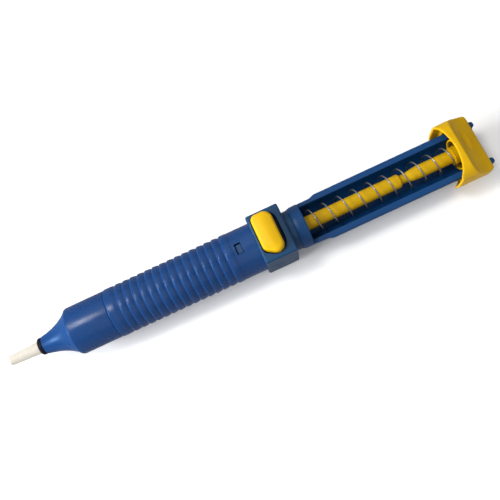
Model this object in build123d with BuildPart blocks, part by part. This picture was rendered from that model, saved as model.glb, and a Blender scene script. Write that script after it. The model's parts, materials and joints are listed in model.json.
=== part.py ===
from build123d import *
import os

os.makedirs("parts", exist_ok=True)

# Desoldering pump, lying with its release button up. Millimetres.
# X runs along the pump, from the nozzle (-) to the loading head (+), from mid-length.
# Y is across it, and the loading head's underside is at z = 0.

# ---- Driving dimensions ----
LENGTH = 219.4
AXIS_HEIGHT = 13.2
STROKE = 60.5
BORE_RADIUS = 8.5
BARREL_RADIUS = 10.7
NOSE_RADIUS = 10.45
ROD_RADIUS = 3.0
SPRING_RADIUS = 5.1
SPRING_WIRE_RADIUS = 0.35
SPRING_PITCH = 6.8
BUTTON_TRAVEL = 1.8
RUNNING_FIT = 0.05
CLEARANCE = 0.35

TIP_END = -LENGTH / 2
GUARD_END = LENGTH / 2

PUMP_AXIS = Axis((0, 0, AXIS_HEIGHT), (1, 0, 0))
AXIAL = Plane(origin=(0, 0, AXIS_HEIGHT), x_dir=(1, 0, 0), z_dir=(0, -1, 0))


def level(height):
    """Horizontal plane at a height above the pump's axis."""
    return Plane.XY.offset(AXIS_HEIGHT + height)


def across(x):
    """Plane square to the pump's axis at x: its own x is the object's Y, its own y is up."""
    return Plane(origin=(x, 0, AXIS_HEIGHT), x_dir=(0, 1, 0), z_dir=(1, 0, 0))


def turn(*corners, mode=Mode.ADD):
    """Revolve a half-section, given as (x, radius) corners, about the pump's axis."""
    with BuildSketch(AXIAL) as section:
        with BuildLine():
            Polyline(*corners, close=True)
        make_face()
    revolve(section.sketch, axis=PUMP_AXIS, mode=mode)


def tube(x0, x1, outer, inner=0.0, mode=Mode.ADD):
    """Revolve a plain tube, or a rod when it has no inner radius."""
    turn((x0, inner), (x1, inner), (x1, outer), (x0, outer), mode=mode)


def o_ring(x, radius, section_radius):
    """Revolve a round-section ring about the pump's axis."""
    with BuildSketch(AXIAL) as section:
        with Locations((x, radius)):
            Circle(section_radius)
    revolve(section.sketch, axis=PUMP_AXIS)


def box_cut(x0, x1, y0, y1, z0, z1):
    """Cut a box given by its limits, with z measured from the pump's axis."""
    with BuildSketch(level(z0)) as outline:
        with Locations(((x0 + x1) / 2, (y0 + y1) / 2)):
            Rectangle(x1 - x0, y1 - y0)
    extrude(outline.sketch, amount=z1 - z0, mode=Mode.SUBTRACT)


def save(piece, label):
    """Label a finished piece and write it as its own STEP file."""
    piece.part.label = label
    export_step(piece.part, "parts/" + label + ".step")


# ---- Nose: nozzle, grommet, cone and seal ----
NOZZLE_BORE_RADIUS = 1.2
NOZZLE_TIP_RADIUS = 2.25
NOZZLE_BASE_RADIUS = 2.75
GROMMET_X = -95.4
NOSE_FRONT = -93.3
NOZZLE_SEAT = -87.0
LIP_LENGTH = 2.0

with BuildPart() as nozzle_tip:
    turn(
        (TIP_END, NOZZLE_BORE_RADIUS),
        (NOZZLE_SEAT, NOZZLE_BORE_RADIUS),
        (NOZZLE_SEAT, NOZZLE_BASE_RADIUS),
        (GROMMET_X, NOZZLE_BASE_RADIUS),
        (TIP_END, NOZZLE_TIP_RADIUS),
    )
    fillet(nozzle_tip.edges().group_by(Axis.X)[0].sort_by(SortBy.LENGTH)[-1], radius=0.4)
save(nozzle_tip, "nozzle_tip")

GROMMET_RADIUS = 3.75
GROMMET_LIP_RADIUS = 3.2

with BuildPart() as tip_grommet:
    turn(
        (GROMMET_X, NOZZLE_BASE_RADIUS + RUNNING_FIT),
        (NOSE_FRONT + LIP_LENGTH, NOZZLE_BASE_RADIUS + RUNNING_FIT),
        (NOSE_FRONT + LIP_LENGTH, GROMMET_LIP_RADIUS),
        (NOSE_FRONT, GROMMET_LIP_RADIUS),
        (NOSE_FRONT, GROMMET_RADIUS),
        (GROMMET_X, GROMMET_RADIUS),
    )
    fillet(tip_grommet.edges().group_by(Axis.X)[0].sort_by(SortBy.LENGTH)[-1], radius=0.6)
save(tip_grommet, "tip_grommet")

NOSE_REAR = -61.5
SHOULDER_FRONT = -79.9
SHOULDER_REAR = -78.4
SHOULDER_FRONT_RADIUS = 9.6
NOSE_FRONT_RADIUS = 3.95
LIP_RADIUS = 9.45          # the barrel's front lip, inside the nose
LIP_FRONT = -67.5
CHAMBER_FRONT = -77.9      # where the bore starts to narrow
THROAT_X = -86.8
THROAT_RADIUS = 3.4
NOSE_RING_GAP = 0.85
NOSE_RING_SECTION = 0.4

with BuildPart() as nose_cone:
    with BuildSketch(AXIAL) as section:
        with BuildLine():
            Spline(
                (NOSE_FRONT, NOSE_FRONT_RADIUS),
                (-88.9, 4.94),
                (-84.4, 6.7),
                (SHOULDER_FRONT, SHOULDER_FRONT_RADIUS),
            )
            ThreePointArc(
                (SHOULDER_FRONT, SHOULDER_FRONT_RADIUS),
                (-79.4, 10.15),
                (SHOULDER_REAR, NOSE_RADIUS),
            )
            Polyline(
                (SHOULDER_REAR, NOSE_RADIUS),
                (NOSE_REAR, NOSE_RADIUS),
                (NOSE_REAR, LIP_RADIUS + RUNNING_FIT),
                (LIP_FRONT - NOSE_RING_GAP, LIP_RADIUS + RUNNING_FIT),
                (LIP_FRONT - NOSE_RING_GAP, BORE_RADIUS),
                (CHAMBER_FRONT, BORE_RADIUS),
                (-82.5, 5.8),
                (THROAT_X, THROAT_RADIUS),
                (THROAT_X, NOZZLE_BASE_RADIUS + RUNNING_FIT),
                (NOSE_FRONT + LIP_LENGTH, NOZZLE_BASE_RADIUS + RUNNING_FIT),
                (NOSE_FRONT + LIP_LENGTH, GROMMET_LIP_RADIUS + RUNNING_FIT),
                (NOSE_FRONT, GROMMET_LIP_RADIUS + RUNNING_FIT),
                (NOSE_FRONT, NOSE_FRONT_RADIUS),
            )
        make_face()
    revolve(section.sketch, axis=PUMP_AXIS)
save(nose_cone, "nose_cone")

with BuildPart() as nose_o_ring:
    o_ring(LIP_FRONT - NOSE_RING_GAP / 2, LIP_RADIUS - NOSE_RING_SECTION, NOSE_RING_SECTION)
save(nose_o_ring, "nose_o_ring")

# ---- Barrel with its grip ribs and snap window ----
BLOCK_FRONT = 5.1
RIB_COUNT = 15
RIB_PITCH = 3.39
FIRST_RIB = -56.0
GROOVE_WIDTH = 1.3
GROOVE_DEPTH = 0.6
PLAIN_FRONT = -5.1
PLAIN_RADIUS = 10.56
WINDOW_FRONT = -3.7
WINDOW_REAR = -0.9
WINDOW_HALF_WIDTH = 2.3
GROOVE_FRONT_SLOPE = 0.2
GROOVE_REAR_SLOPE = 0.25

with BuildPart() as barrel:
    turn(
        (LIP_FRONT, BORE_RADIUS),
        (BLOCK_FRONT, BORE_RADIUS),
        (BLOCK_FRONT, PLAIN_RADIUS),
        (PLAIN_FRONT, PLAIN_RADIUS),
        (PLAIN_FRONT, BARREL_RADIUS),
        (NOSE_REAR, BARREL_RADIUS),
        (NOSE_REAR, LIP_RADIUS),
        (LIP_FRONT, LIP_RADIUS),
    )
    for index in range(RIB_COUNT):
        edge = FIRST_RIB + index * RIB_PITCH
        turn(
            (edge - GROOVE_WIDTH, BARREL_RADIUS + 0.01),
            (edge - GROOVE_WIDTH + GROOVE_FRONT_SLOPE, BARREL_RADIUS - GROOVE_DEPTH),
            (edge - GROOVE_REAR_SLOPE, BARREL_RADIUS - GROOVE_DEPTH),
            (edge, BARREL_RADIUS + 0.01),
            mode=Mode.SUBTRACT,
        )
    box_cut(WINDOW_FRONT, WINDOW_REAR, -WINDOW_HALF_WIDTH, WINDOW_HALF_WIDTH, 5, 12)
save(barrel, "barrel")

# ---- Latch housing: the block that holds the button, the plate and the rod's bush ----
BLOCK_REAR = 19.4
BLOCK_HALF = 10.8
SPIGOT_FRONT = -6.5
NECK_REAR = 21.9
NECK_RADIUS = 8.7
GUARD_SPIGOT_RADIUS = 7.5
GUARD_SPIGOT_REAR = 24.0
NECK_CORE_FRONT = 18.2
NECK_CORE_RADIUS = 5.8      # the neck is cored to an even wall, as a moulding is
BUSH_RADIUS = 5.0
BUSH_REAR = 1.0
TUNNEL_RADIUS = 3.9         # clear of the rod, which the bush and the spring washer guide
POCKET_FLOOR = 4.6
POCKET_FRONT = 6.2
POCKET_REAR = 16.9
POCKET_SIDE = 8.85           # on the cut side
POCKET_FAR_SIDE = 9.65
PLATE_FRONT = 11.2
PLATE_REAR = 12.4
PLATE_HALF_WIDTH = 6.0
PLATE_BOTTOM = -6.6
WELL_FLOOR = 4.0
WELL_RADIUS = 1.75
WELL_X = 8.8
WELL_Y = 5.0
TAB_TOP = 10.2
TAB_LENGTH = 1.9
CUT_LENGTH = 4.6            # the button's cut corner, along X and across it
CUT_WIDTH = 2.6
CUT_FILLET = 1.5
UNDERSIDE_FILLET = 1.6
BLOCK_FILLET = 0.8


def button_outline(front, rear, side, far_side, corner, rear_corner):
    """Draw the button's outline: rounded, with its front corner on -Y cut away."""
    with BuildSketch(Plane.XY, mode=Mode.PRIVATE) as outline:
        with BuildLine():
            Polyline(
                (front, far_side),
                (rear, far_side),
                (rear, -side),
                (front + CUT_LENGTH, -side),
                (front, -side + CUT_WIDTH),
                close=True,
            )
        make_face()
        rounded = outline.vertices().sort_by(Axis.X)
        fillet(rounded[-2:], radius=rear_corner)
        fillet(outline.vertices().sort_by(Axis.X)[:2], radius=corner)
        cut_end = outline.vertices().sort_by_distance((front + CUT_LENGTH, -side))[0]
        fillet(cut_end, radius=CUT_FILLET)
    return outline.sketch


with BuildPart() as latch_housing:
    with BuildSketch(across(BLOCK_FRONT)):
        Rectangle(2 * BLOCK_HALF, 2 * BLOCK_HALF)
    extrude(amount=BLOCK_REAR - BLOCK_FRONT)
    underside = latch_housing.faces().sort_by(Axis.Z)[0]
    fillet(underside.edges(), radius=UNDERSIDE_FILLET)
    fillet(latch_housing.edges().filter_by_position(Axis.Z, AXIS_HEIGHT, 100), radius=BLOCK_FILLET)
    tube(SPIGOT_FRONT, BLOCK_FRONT + 1.0, BORE_RADIUS - RUNNING_FIT)
    tube(BLOCK_REAR - 1.0, NECK_REAR, NECK_RADIUS)
    tube(NECK_REAR - 0.5, GUARD_SPIGOT_REAR, GUARD_SPIGOT_RADIUS)
    # The snap tab that stands in the barrel's window.
    with BuildSketch(level(6.0)):
        with Locations(((WINDOW_FRONT + WINDOW_REAR) / 2 + 0.2, -0.25)):
            Rectangle(TAB_LENGTH, 2 * WINDOW_HALF_WIDTH - 0.9)
    extrude(amount=TAB_TOP - 6.0)
    # Button pocket, spring wells and the latch plate's slot.
    pocket = button_outline(POCKET_FRONT, POCKET_REAR, POCKET_SIDE, POCKET_FAR_SIDE, 2.4, 4.8)
    extrude(level(POCKET_FLOOR).location * pocket, amount=10, mode=Mode.SUBTRACT)
    with BuildSketch(level(WELL_FLOOR)):
        with Locations((WELL_X, WELL_Y), (WELL_X, -WELL_Y)):
            Circle(WELL_RADIUS)
    extrude(amount=POCKET_FLOOR - WELL_FLOOR, mode=Mode.SUBTRACT)
    box_cut(
        PLATE_FRONT - 0.3, PLATE_REAR + 0.3, -PLATE_HALF_WIDTH - 0.3, PLATE_HALF_WIDTH + 0.3,
        PLATE_BOTTOM - BUTTON_TRAVEL - 0.4, POCKET_FLOOR,
    )
    # Rod tunnel, with the bush's seat at its front and the cored neck at its rear.
    tube(SPIGOT_FRONT, GUARD_SPIGOT_REAR, TUNNEL_RADIUS, mode=Mode.SUBTRACT)
    tube(NECK_CORE_FRONT, GUARD_SPIGOT_REAR, NECK_CORE_RADIUS, mode=Mode.SUBTRACT)
    tube(SPIGOT_FRONT, BUSH_REAR, BUSH_RADIUS + RUNNING_FIT, mode=Mode.SUBTRACT)
save(latch_housing, "latch_housing")

with BuildPart() as rod_bush:
    tube(SPIGOT_FRONT, BUSH_REAR, BUSH_RADIUS, ROD_RADIUS + RUNNING_FIT)
save(rod_bush, "rod_bush")

BUMPER_THICKNESS = 2.0
BUMPER_RADIUS = 7.9

with BuildPart() as piston_bumper:
    tube(SPIGOT_FRONT - BUMPER_THICKNESS, SPIGOT_FRONT, BUMPER_RADIUS, ROD_RADIUS + CLEARANCE)
    fillet(piston_bumper.edges().filter_by(GeomType.CIRCLE), radius=0.4)
save(piston_bumper, "piston_bumper")

# ---- Guard channel: a collar on the housing's neck and a half-pipe behind it ----
COLLAR_RADIUS = 9.3
COLLAR_REAR = 27.0
CHANNEL_RADIUS = 10.3
CHANNEL_INNER_RADIUS = 7.6
FLARE_FRONT = 33.3
FLARE_REAR = 35.8
RIM_HEIGHT = 0.9
SPRING_SEAT = 24.8
PRONG_ROOT = 105.4
PRONG_DEPTH = -3.2
PRONG_FILLET = 1.25

with BuildPart() as guard_channel:
    turn(
        (NECK_REAR, CHANNEL_INNER_RADIUS),
        (GUARD_END, CHANNEL_INNER_RADIUS),
        (GUARD_END, CHANNEL_RADIUS),
        (FLARE_REAR, CHANNEL_RADIUS),
        (FLARE_FRONT, COLLAR_RADIUS + 0.15),
        (NECK_REAR + 1.8, COLLAR_RADIUS),
        (NECK_REAR, COLLAR_RADIUS - 0.5),
    )
    box_cut(COLLAR_REAR, GUARD_END + 1, -12, 12, RIM_HEIGHT, 12)
    box_cut(PRONG_ROOT, GUARD_END + 1, -12, 12, -12, PRONG_DEPTH)
    tips = guard_channel.edges().group_by(Axis.X)[-1].filter_by(GeomType.CIRCLE)
    fillet(tips, radius=PRONG_FILLET)
    tube(SPRING_SEAT, COLLAR_REAR, CHANNEL_INNER_RADIUS + 0.2, SPRING_RADIUS + 0.9)
save(guard_channel, "guard_channel")

with BuildPart() as spring_washer:
    tube(GUARD_SPIGOT_REAR, SPRING_SEAT, CHANNEL_INNER_RADIUS - 0.1, ROD_RADIUS + 0.4)
save(spring_washer, "spring_washer")

# ---- Plunger: rod, head, spring, piston and ejector pin ----
HEAD_FRONT = 91.5
HEAD_REAR = 107.5
CUP_FRONT = 96.3
CUP_FLOOR = 99.4
CUP_RADIUS = 6.9
CUP_INNER_RADIUS = 6.1
HEAD_HOLLOW_REAR = 105.0
CUP_REAR = 100.6
PILLAR_RADIUS = 3.6
PISTON_REAR = SPIGOT_FRONT - BUMPER_THICKNESS - 0.3
PISTON_LENGTH = 7.0
PISTON_FRONT = PISTON_REAR - PISTON_LENGTH
PISTON_RADIUS = 8.2
PISTON_SPIGOT_RADIUS = 2.0
RETAINER_THICKNESS = 0.8
RETAINER_RADIUS = 4.0
RING_INSET = 1.9             # each ring's middle, from the piston's nearer end
ROD_FRONT = PISTON_FRONT - 1.5
PIN_RADIUS = 0.9
PIN_DEPTH = 6.0
LATCH_GROOVE = 71.0
LATCH_GROOVE_REAR = 73.7
LATCH_GROOVE_RADIUS = 2.0
CATCH_REAR = 79.3
CATCH_TAPER = 2.6
REAR_ROD_RADIUS = 2.85
BOSS_RADIUS = 4.0
BOSS_FRONT = 95.0
SCREW_RADIUS = 1.0
SCREW_HOLE_DEPTH = 9.0
SCREW_SEAT_DEPTH = 1.4

with BuildPart() as plunger_rod:
    turn(
        (ROD_FRONT, 0),
        (CUP_FLOOR, 0),
        (CUP_FLOOR, BOSS_RADIUS),
        (BOSS_FRONT, BOSS_RADIUS),
        (BOSS_FRONT, REAR_ROD_RADIUS),
        (CATCH_REAR, REAR_ROD_RADIUS),
        (CATCH_REAR - CATCH_TAPER, REAR_ROD_RADIUS - 0.25),
        (LATCH_GROOVE_REAR, LATCH_GROOVE_RADIUS),
        (LATCH_GROOVE, LATCH_GROOVE_RADIUS),
        (LATCH_GROOVE, ROD_RADIUS - 0.6),
        (LATCH_GROOVE - 0.6, ROD_RADIUS),
        (PISTON_REAR, ROD_RADIUS),
        (PISTON_REAR, PISTON_SPIGOT_RADIUS),
        (ROD_FRONT, PISTON_SPIGOT_RADIUS),
    )
    tube(ROD_FRONT, ROD_FRONT + PIN_DEPTH, PIN_RADIUS + 0.02, mode=Mode.SUBTRACT)
    tube(CUP_FLOOR - SCREW_HOLE_DEPTH, CUP_FLOOR, SCREW_RADIUS + 0.02, mode=Mode.SUBTRACT)
save(plunger_rod, "plunger_rod")

PISTON_GROOVE_WIDTH = 1.9
PISTON_GROOVE_RADIUS = 6.6
PISTON_RING_SECTION = 0.9
piston_rings = {
    "piston_o_ring_front": PISTON_FRONT + RING_INSET,
    "piston_o_ring_rear": PISTON_REAR - RING_INSET,
}

with BuildPart() as piston:
    tube(PISTON_FRONT, PISTON_REAR, PISTON_RADIUS, PISTON_SPIGOT_RADIUS + RUNNING_FIT)
    for ring_x in piston_rings.values():
        half = PISTON_GROOVE_WIDTH / 2
        tube(ring_x - half, ring_x + half, PISTON_RADIUS + 1, PISTON_GROOVE_RADIUS, mode=Mode.SUBTRACT)
save(piston, "piston")

for ring_name, ring_x in piston_rings.items():
    with BuildPart() as piston_o_ring:
        o_ring(ring_x, BORE_RADIUS - RUNNING_FIT - PISTON_RING_SECTION, PISTON_RING_SECTION)
    save(piston_o_ring, ring_name)

with BuildPart() as piston_retainer:
    tube(
        PISTON_FRONT - RETAINER_THICKNESS, PISTON_FRONT, RETAINER_RADIUS, PISTON_SPIGOT_RADIUS + 0.02,
    )
save(piston_retainer, "piston_retainer")

PIN_LENGTH = ROD_FRONT + PIN_DEPTH - (TIP_END + STROKE - 0.3)

with BuildPart() as ejector_pin:
    tube(ROD_FRONT + PIN_DEPTH - PIN_LENGTH, ROD_FRONT + PIN_DEPTH, PIN_RADIUS)
    chamfer(ejector_pin.edges().group_by(Axis.X)[0], length=0.3)
save(ejector_pin, "ejector_pin")

HEAD_RADIUS = AXIS_HEIGHT
HEAD_TOP = 10.6
HEAD_REAR_TOP = 3.3
HEAD_CORNER = 5.3
HEAD_WALL = 1.7
RIDGE_X = 96.9
DISH_X = 101.2
DISH_HEIGHT = 5.6
WING_HEIGHT = -4.0
HEAD_FRONT_BELOW = 97.5
SLOT_OUTER_RADIUS = CHANNEL_RADIUS + 0.45
SLOT_INNER_RADIUS = CHANNEL_INNER_RADIUS - 0.45
HEAD_REAR_FILLET = 2.2
SCREW_HEAD_RADIUS = 2.1


def head_section(radius, top, corner):
    """Draw the head's section: half round below, upright sides, rounded top corners."""
    with BuildSketch(Plane.XY, mode=Mode.PRIVATE) as section:
        Circle(radius)
        with Locations((0, top / 2)):
            Rectangle(2 * radius, top)
        with Locations((0, top + radius)):
            Rectangle(4 * radius, 2 * radius, mode=Mode.SUBTRACT)
        fillet(section.vertices().group_by(Axis.Y)[-1], radius=corner)
    return section.sketch


def thumb_rest_cut(drop):
    """Cut away all above the thumb rest, which sinks in a curve from the ridge to the rear edge."""
    ridge = (RIDGE_X, HEAD_TOP - drop)
    rear = (HEAD_REAR + 0.01, HEAD_REAR_TOP - drop)
    with BuildSketch(AXIAL) as side:
        with BuildLine():
            ThreePointArc(ridge, (DISH_X, DISH_HEIGHT - drop), rear)
            Polyline(rear, (HEAD_REAR + 0.01, HEAD_TOP + 5), (RIDGE_X, HEAD_TOP + 5), ridge)
        make_face()
    extrude(side.sketch, amount=HEAD_RADIUS + 1, both=True, mode=Mode.SUBTRACT)


with BuildPart() as head_hollow:
    room = head_section(SLOT_OUTER_RADIUS, HEAD_TOP - HEAD_WALL, HEAD_CORNER - HEAD_WALL)
    extrude(across(HEAD_FRONT - 1).location * room, amount=HEAD_HOLLOW_REAR - HEAD_FRONT + 1)
    thumb_rest_cut(HEAD_WALL)
    # The cup that takes the spring's end, and the pillar that the screw passes through.
    tube(CUP_FRONT, CUP_REAR, CUP_RADIUS, mode=Mode.SUBTRACT)
    tube(CUP_REAR, HEAD_HOLLOW_REAR, PILLAR_RADIUS, mode=Mode.SUBTRACT)

with BuildPart() as loading_head:
    outer = head_section(HEAD_RADIUS, HEAD_TOP, HEAD_CORNER)
    extrude(across(HEAD_FRONT).location * outer, amount=HEAD_REAR - HEAD_FRONT)
    thumb_rest_cut(0)
    fillet(loading_head.edges().group_by(Axis.X)[-1], radius=HEAD_REAR_FILLET)
    # Below the wings, the front edge runs back in a curve.
    with BuildSketch(AXIAL):
        with BuildLine():
            ThreePointArc((HEAD_FRONT - 1, WING_HEIGHT), (95.0, -8.6), (HEAD_FRONT_BELOW, -14))
            Polyline(
                (HEAD_FRONT_BELOW, -14), (HEAD_FRONT - 1, -14), (HEAD_FRONT - 1, WING_HEIGHT),
            )
        make_face()
    extrude(amount=HEAD_RADIUS + 1, both=True, mode=Mode.SUBTRACT)
    # The saddle cut in the front edge, seen from above.
    with BuildSketch(level(0)):
        with BuildLine():
            ThreePointArc((HEAD_FRONT - 0.01, -11.6), (94.6, 0), (HEAD_FRONT - 0.01, 11.6))
            Line((HEAD_FRONT - 0.01, 11.6), (HEAD_FRONT - 0.01, -11.6))
        make_face()
    extrude(amount=15, mode=Mode.SUBTRACT)
    add(head_hollow.part, mode=Mode.SUBTRACT)
    tube(HEAD_FRONT, CUP_FLOOR, CUP_INNER_RADIUS, mode=Mode.SUBTRACT)
    # The slot in the end wall that the guard channel runs through.
    with BuildSketch(across(HEAD_HOLLOW_REAR - 0.5)):
        Circle(SLOT_OUTER_RADIUS)
        Circle(SLOT_INNER_RADIUS, mode=Mode.SUBTRACT)
        with Locations((0, RIM_HEIGHT + 0.45 + 10)):
            Rectangle(40, 20, mode=Mode.SUBTRACT)
    extrude(amount=10, mode=Mode.SUBTRACT)
    tube(CUP_FLOOR, HEAD_REAR + 1, SCREW_RADIUS + 0.1, mode=Mode.SUBTRACT)
    tube(HEAD_REAR - SCREW_SEAT_DEPTH, HEAD_REAR + 1, SCREW_HEAD_RADIUS + 0.1, mode=Mode.SUBTRACT)
save(loading_head, "loading_head")

with BuildPart() as head_screw:
    tube(CUP_FLOOR - SCREW_HOLE_DEPTH + 1.0, HEAD_REAR - SCREW_SEAT_DEPTH, SCREW_RADIUS)
    tube(HEAD_REAR - SCREW_SEAT_DEPTH, HEAD_REAR - 0.1, SCREW_HEAD_RADIUS)
    with BuildSketch(across(HEAD_REAR - 0.7)):
        Rectangle(3.0, 0.5)
        Rectangle(0.5, 3.0)
    extrude(amount=1, mode=Mode.SUBTRACT)
save(head_screw, "head_screw")

SPRING_LENGTH = CUP_FLOOR - SPRING_SEAT

with BuildPart() as main_spring:
    with BuildLine() as coil:
        Helix(
            pitch=SPRING_PITCH,
            height=SPRING_LENGTH - 2 * SPRING_WIRE_RADIUS - 0.1,
            radius=SPRING_RADIUS,
            center=(SPRING_SEAT + SPRING_WIRE_RADIUS + 0.05, 0, AXIS_HEIGHT),
            direction=(1, 0, 0),
        )
    with BuildSketch(Plane(origin=coil.line @ 0, z_dir=coil.line % 0)):
        Circle(SPRING_WIRE_RADIUS)
    sweep(path=coil.line, is_frenet=True)
save(main_spring, "main_spring")

# ---- Release button, its latch plate and its springs ----
BUTTON_FRONT = 6.6
BUTTON_REAR = 15.3
BUTTON_SIDE = 8.5
BUTTON_FAR_SIDE = 9.3
BUTTON_UNDERSIDE = 8.6
BUTTON_TOP = 14.7
PLATE_TOP = 11.6
PLATE_HOLE_RADIUS = ROD_RADIUS + 0.32
BUTTON_FILLET = 1.3

with BuildPart() as release_button:
    cap = button_outline(BUTTON_FRONT, BUTTON_REAR, BUTTON_SIDE, BUTTON_FAR_SIDE, 2.6, 3.6)
    extrude(level(BUTTON_UNDERSIDE).location * cap, amount=BUTTON_TOP - BUTTON_UNDERSIDE)
    fillet(release_button.faces().sort_by(Axis.Z)[-1].edges(), radius=BUTTON_FILLET)
    box_cut(
        PLATE_FRONT - 0.03, PLATE_REAR + 0.03, -PLATE_HALF_WIDTH - 0.03, PLATE_HALF_WIDTH + 0.03,
        BUTTON_UNDERSIDE, PLATE_TOP + 0.03,
    )
save(release_button, "release_button")

with BuildPart() as latch_plate:
    with BuildSketch(across(PLATE_FRONT)):
        with Locations((0, (PLATE_TOP + PLATE_BOTTOM) / 2)):
            Rectangle(2 * PLATE_HALF_WIDTH, PLATE_TOP - PLATE_BOTTOM)
        # A slot tall enough for the plate to drop by the button's travel.
        with Locations((0, 0), (0, BUTTON_TRAVEL)):
            Circle(PLATE_HOLE_RADIUS, mode=Mode.SUBTRACT)
        with Locations((0, BUTTON_TRAVEL / 2)):
            Rectangle(2 * PLATE_HOLE_RADIUS, BUTTON_TRAVEL, mode=Mode.SUBTRACT)
    extrude(amount=PLATE_REAR - PLATE_FRONT)
save(latch_plate, "latch_plate")

BUTTON_SPRING_RADIUS = 1.3
BUTTON_SPRING_WIRE = 0.2
BUTTON_SPRING_PITCH = 0.85

with BuildPart() as button_springs:
    for spring_y in (-WELL_Y, WELL_Y):
        with BuildLine() as small_coil:
            Helix(
                pitch=BUTTON_SPRING_PITCH,
                height=BUTTON_UNDERSIDE - WELL_FLOOR - 2 * BUTTON_SPRING_WIRE - 0.1,
                radius=BUTTON_SPRING_RADIUS,
                center=(WELL_X, spring_y, AXIS_HEIGHT + WELL_FLOOR + BUTTON_SPRING_WIRE + 0.05),
            )
        with BuildSketch(Plane(origin=small_coil.line @ 0, z_dir=small_coil.line % 0)):
            Circle(BUTTON_SPRING_WIRE)
        sweep(path=small_coil.line, is_frenet=True)
save(button_springs, "button_springs")
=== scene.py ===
"""Desoldering pump: the looks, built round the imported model."""

import json
import logging
import math
from dataclasses import dataclass
from enum import Enum
from typing import Callable, Optional, Sequence, Union

import bmesh
import bpy
from mathutils import Matrix, Vector
from mathutils.geometry import interpolate_bezier


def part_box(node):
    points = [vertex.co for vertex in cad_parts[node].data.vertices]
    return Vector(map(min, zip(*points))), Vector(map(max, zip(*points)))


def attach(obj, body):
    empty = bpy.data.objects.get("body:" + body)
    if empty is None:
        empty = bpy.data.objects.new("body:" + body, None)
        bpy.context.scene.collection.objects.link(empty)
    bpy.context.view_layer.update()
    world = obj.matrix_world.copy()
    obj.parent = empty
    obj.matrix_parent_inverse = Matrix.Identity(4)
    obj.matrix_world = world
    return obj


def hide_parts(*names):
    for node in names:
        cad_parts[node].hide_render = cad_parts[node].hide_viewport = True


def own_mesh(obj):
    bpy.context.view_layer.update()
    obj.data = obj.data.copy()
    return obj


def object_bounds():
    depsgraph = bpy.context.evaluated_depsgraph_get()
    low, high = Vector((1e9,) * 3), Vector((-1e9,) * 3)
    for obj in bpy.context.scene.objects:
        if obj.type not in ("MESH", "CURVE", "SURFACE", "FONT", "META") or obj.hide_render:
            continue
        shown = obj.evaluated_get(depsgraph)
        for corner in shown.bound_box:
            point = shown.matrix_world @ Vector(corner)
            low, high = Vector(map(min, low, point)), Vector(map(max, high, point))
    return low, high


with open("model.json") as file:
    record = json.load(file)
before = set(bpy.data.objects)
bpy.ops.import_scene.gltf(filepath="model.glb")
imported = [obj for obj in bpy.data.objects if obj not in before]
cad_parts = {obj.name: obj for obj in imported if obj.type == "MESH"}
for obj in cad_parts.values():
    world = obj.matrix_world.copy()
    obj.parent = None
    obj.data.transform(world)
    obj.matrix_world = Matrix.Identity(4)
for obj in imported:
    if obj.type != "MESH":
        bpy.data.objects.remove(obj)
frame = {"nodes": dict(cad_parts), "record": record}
CAD_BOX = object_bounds()

logging.basicConfig(level=logging.INFO, format="%(message)s")
log = logging.getLogger("pump")

MM = 0.001
Colour = tuple[float, float, float]
Point = tuple[float, float, float]


# ---------------------------------------------------------------- shader maths


NOISE_ROUGHNESS = 0.55
# Where the Mix node keeps its colour sockets.
COLOUR_LOW, COLOUR_HIGH, COLOUR_RESULT = 6, 7, 2


class Expr:
    """A node's output socket that takes part in Python arithmetic."""

    def __init__(self, graph: "Graph", socket: bpy.types.NodeSocket) -> None:
        """Wrap a socket.

        Args:
            graph: the material's graph, which gets the new Math nodes.
            socket: the output socket.
        """
        self.graph = graph
        self.socket = socket

    def _math(self, operation: str, *values: "Value") -> "Expr":
        """Add one Math node.

        Args:
            operation: the Math node's operation.
            values: its inputs in order.

        Returns:
            The node's output.
        """
        inputs = dict(enumerate(values))
        return self.graph.node("ShaderNodeMath", {"operation": operation}, inputs)[0]

    def __add__(self, other: "Value") -> "Expr":
        """self + other."""
        return self._math("ADD", self, other)

    def __radd__(self, other: "Value") -> "Expr":
        """other + self."""
        return self._math("ADD", other, self)

    def __mul__(self, other: "Value") -> "Expr":
        """self * other."""
        return self._math("MULTIPLY", self, other)

    def band(self, low: float, high: float) -> "Expr":
        """Map low..high smoothly to 0..1, held at both ends.

        Args:
            low: the value that gives 0.
            high: the value that gives 1.

        Returns:
            The mapped value.
        """
        settings = {"interpolation_type": "SMOOTHSTEP"}
        inputs = {"Value": self, "From Min": low, "From Max": high}
        return self.graph.node("ShaderNodeMapRange", settings, inputs)["Result"]


Value = Union[Expr, float, int, tuple, Vector]


class Outputs:
    """A node's outputs, each read by name or number as an Expr."""

    def __init__(self, graph: "Graph", node: bpy.types.Node) -> None:
        """Keep the node and the graph it belongs to."""
        self.graph = graph
        self.node = node

    def __getitem__(self, key: Union[str, int]) -> Expr:
        """One output socket as an Expr."""
        return Expr(self.graph, self.node.outputs[key])


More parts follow.
